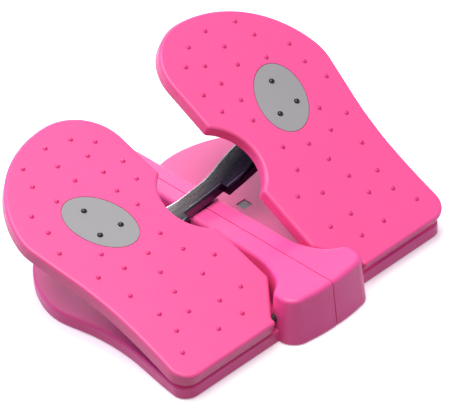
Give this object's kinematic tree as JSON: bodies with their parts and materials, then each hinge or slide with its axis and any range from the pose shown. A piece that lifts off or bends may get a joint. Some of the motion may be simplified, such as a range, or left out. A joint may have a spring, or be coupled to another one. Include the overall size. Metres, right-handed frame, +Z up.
{
  "type": "stepper",
  "caption": "Mini twist stepper: two sloping pink foot pedals with nubs and oval grey plates over a split pink base, linked by a dark chrome rocker bar.",
  "frame": {"origin": "On the floor, straight below the hinge axle, in the mirror plane between the pedals", "axes": "+X to the user's right across the machine, +Y from heel to toe, +Z up"},
  "size_m": [0.3898, 0.3182, 0.1753],
  "materials": {
    "pink_pedal": "satin-gloss injection moulded plastic",
    "pink_shell": "satin-gloss injection moulded plastic",
    "grey_plastic": "smooth satin",
    "black_dome": "glossy",
    "black_plastic": "fine texture",
    "dark_chrome": "polished",
    "zinc_steel": "zinc plated",
    "black_steel": "powder coated",
    "nylon": "natural nylon",
    "rubber": "moulded rubber"
  },
  "bodies": {
    "base": {"base_shell_left": "pink_shell", "base_shell_right": "pink_shell", "bottom_plate": "black_plastic", "rubber_feet": "rubber", "base_screws": "zinc_steel", "chassis_rail": "black_steel", "cross_bar": "black_steel", "deck_bolts": "zinc_steel", "deck_plugs": "grey_plastic", "pivot_bracket": "black_steel", "pivot_pin": "zinc_steel", "pivot_clips": "zinc_steel", "thrust_washers": "nylon", "stop_buffers": "rubber", "hinge_axle": "zinc_steel", "axle_clips": "zinc_steel", "hinge_bracket_left": "black_steel", "hinge_bracket_right": "black_steel", "bracket_screws": "zinc_steel"},
    "pedal_left_body": {"pedal_left": "pink_pedal", "pedal_cover_left": "black_plastic", "cover_screws_left": "zinc_steel", "roller_track_left": "nylon", "sole_plate_left": "grey_plastic", "sole_domes_left": "black_dome", "pedal_bushes_left": "nylon"},
    "pedal_right_body": {"pedal_right": "pink_pedal", "pedal_cover_right": "black_plastic", "cover_screws_right": "zinc_steel", "roller_track_right": "nylon", "sole_plate_right": "grey_plastic", "sole_domes_right": "black_dome", "pedal_bushes_right": "nylon"},
    "rocker_body": {"rocker_bar": "dark_chrome", "rocker_bush": "nylon", "roller_pins": "zinc_steel", "roller_clips": "zinc_steel"},
    "roller_left_body": {"roller_left": "nylon"},
    "roller_right_body": {"roller_right": "nylon"}
  },
  "joints": [
    {"name": "pedal_right_hinge", "type": "hinge", "parent": "base", "child": "pedal_right_body", "pos_m": [0.115, 0, 0.0245], "axis": [1, 0, 0], "range_deg": [-13.3, 2.7]},
    {"name": "pedal_left_hinge", "type": "hinge", "parent": "base", "child": "pedal_left_body", "pos_m": [-0.115, 0, 0.0245], "axis": [1, 0, 0], "range_deg": [-2.7, 13.3]},
    {"name": "rocker_pivot", "type": "hinge", "parent": "base", "child": "rocker_body", "pos_m": [0, 0.154, 0.036], "axis": [0, -1, 0], "range_deg": [-18.1, 3.68]},
    {"name": "roller_right_spin", "type": "hinge", "parent": "rocker_body", "child": "roller_right_body", "pos_m": [0.12442, 0.154, 0.08825], "axis": [0.9556, 0, 0.2946], "range_deg": [-90, 90]},
    {"name": "roller_left_spin", "type": "hinge", "parent": "rocker_body", "child": "roller_left_body", "pos_m": [-0.13351, 0.154, 0.05563], "axis": [0.9989, 0, -0.0474], "range_deg": [-90, 90]}
  ],
  "couplings": [
    {"joint": "pedal_left_hinge", "follows": "pedal_right_hinge", "ratio": -1},
    {"joint": "rocker_pivot", "follows": "pedal_right_hinge", "ratio": 1.36},
    {"joint": "roller_right_spin", "follows": "pedal_right_hinge", "ratio": 5.7},
    {"joint": "roller_left_spin", "follows": "pedal_right_hinge", "ratio": -5.7}
  ]
}
